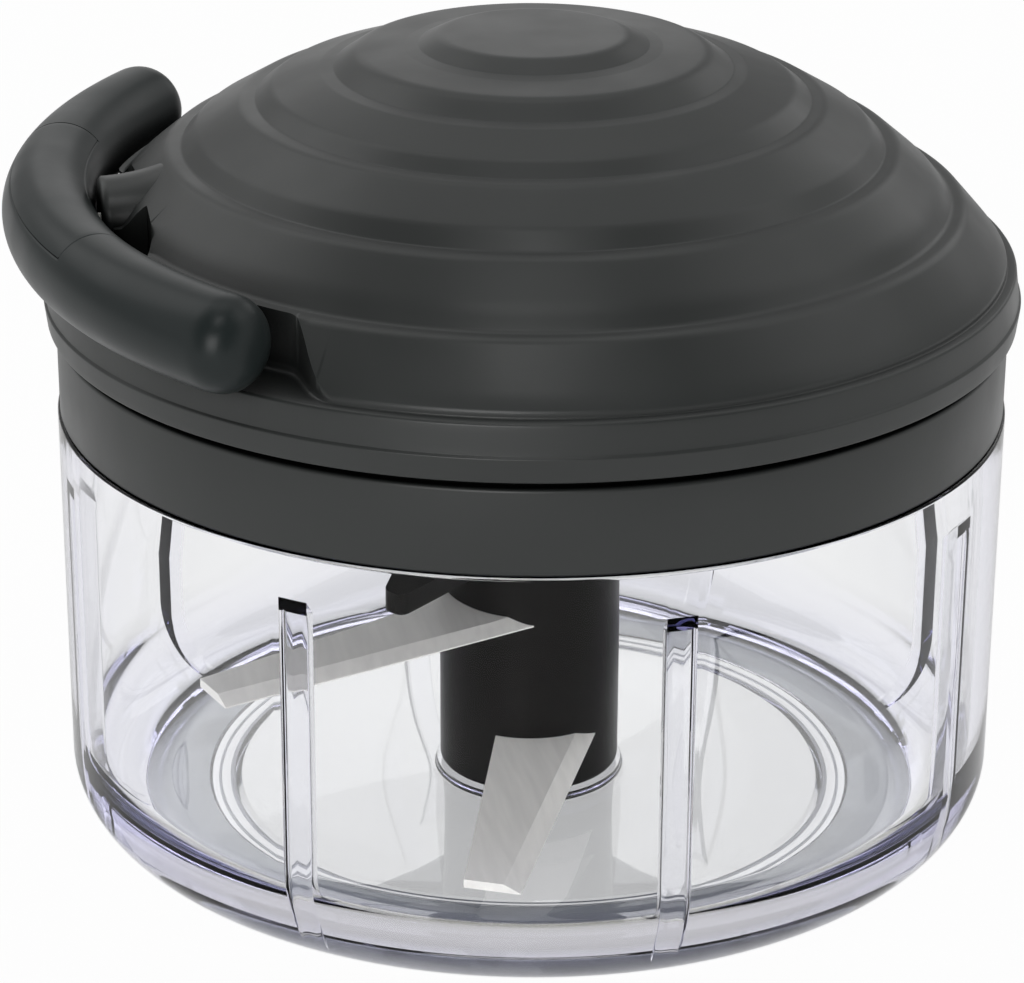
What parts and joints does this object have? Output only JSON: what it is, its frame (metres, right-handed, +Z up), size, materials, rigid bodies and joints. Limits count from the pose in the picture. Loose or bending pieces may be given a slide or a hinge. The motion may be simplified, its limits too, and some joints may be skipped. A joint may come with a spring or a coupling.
{
  "type": "food chopper",
  "caption": "Hand-pulled food chopper with a clear ribbed bowl, a stepped dark dome lid, a curved pull handle on a spring-return cord, and swept steel blades on a dark shaft.",
  "frame": {"origin": "centre of the base, on the table under the blade shaft's axis", "axes": "+Z up along the shaft, -X the way the handle is pulled"},
  "size_m": [0.1337, 0.129, 0.1074],
  "materials": {
    "clear_plastic": "clear moulded plastic with a cool tint in its edges",
    "silicone": "translucent satin silicone",
    "dark_plastic": "satin, fine moulded grain",
    "handle_plastic": "smooth satin",
    "black_plastic": "smooth",
    "blade_steel": "brushed along the blade",
    "steel": "bright",
    "cord": "braided"
  },
  "bodies": {
    "bowl_body": {"bowl": "clear_plastic", "non_slip_ring": "silicone", "pivot_pin": "steel"},
    "lid_body": {"lid_base": "dark_plastic", "lid_seal": "silicone", "dome_cover": "dark_plastic", "cord_eyelet": "steel", "spring_arbor": "steel", "recoil_spring": "steel", "lid_screw_1": "steel", "lid_screw_2": "steel", "lid_screw_3": "steel", "lid_screw_4": "steel", "cord_run": "cord"},
    "spool_body": {"cord_spool": "black_plastic", "spool_cap": "black_plastic", "cord_winding": "cord", "drive_dog": "steel"},
    "handle_body": {"grip_upper": "handle_plastic", "grip_lower": "handle_plastic", "handle_end_front": "handle_plastic", "handle_end_back": "handle_plastic", "cord_knot": "cord", "cord_lead": "cord"},
    "blade_body": {"blade_shaft": "black_plastic", "upper_blade": "blade_steel", "lower_blade": "blade_steel", "stir_wing": "black_plastic"}
  },
  "joints": [
    {"name": "lid_lift", "type": "slide", "parent": "bowl_body", "child": "lid_body", "axis": [0, 0, 1], "range_m": [0, 0.1]},
    {"name": "handle_pull", "type": "slide", "parent": "lid_body", "child": "handle_body", "axis": [-1, 0, 0], "range_m": [0, 0.3], "stiffness_N_per_m": 12, "springref_m": -0.25, "deforming": ["cord_lead"]},
    {"name": "spool_spin", "type": "hinge", "parent": "lid_body", "child": "spool_body", "pos_m": [0, 0, 0.0851], "axis": [0, 0, 1], "range_deg": [0, 823], "deforming": ["recoil_spring"]},
    {"name": "blade_spin", "type": "hinge", "parent": "bowl_body", "child": "blade_body", "pos_m": [0, 0, 0.03], "axis": [0, 0, 1], "range_deg": [0, 823]}
  ],
  "couplings": [
    {"joint": "spool_spin", "follows": "handle_pull", "rad_per_m": 47.85},
    {"joint": "blade_spin", "follows": "handle_pull", "rad_per_m": 47.85}
  ]
}
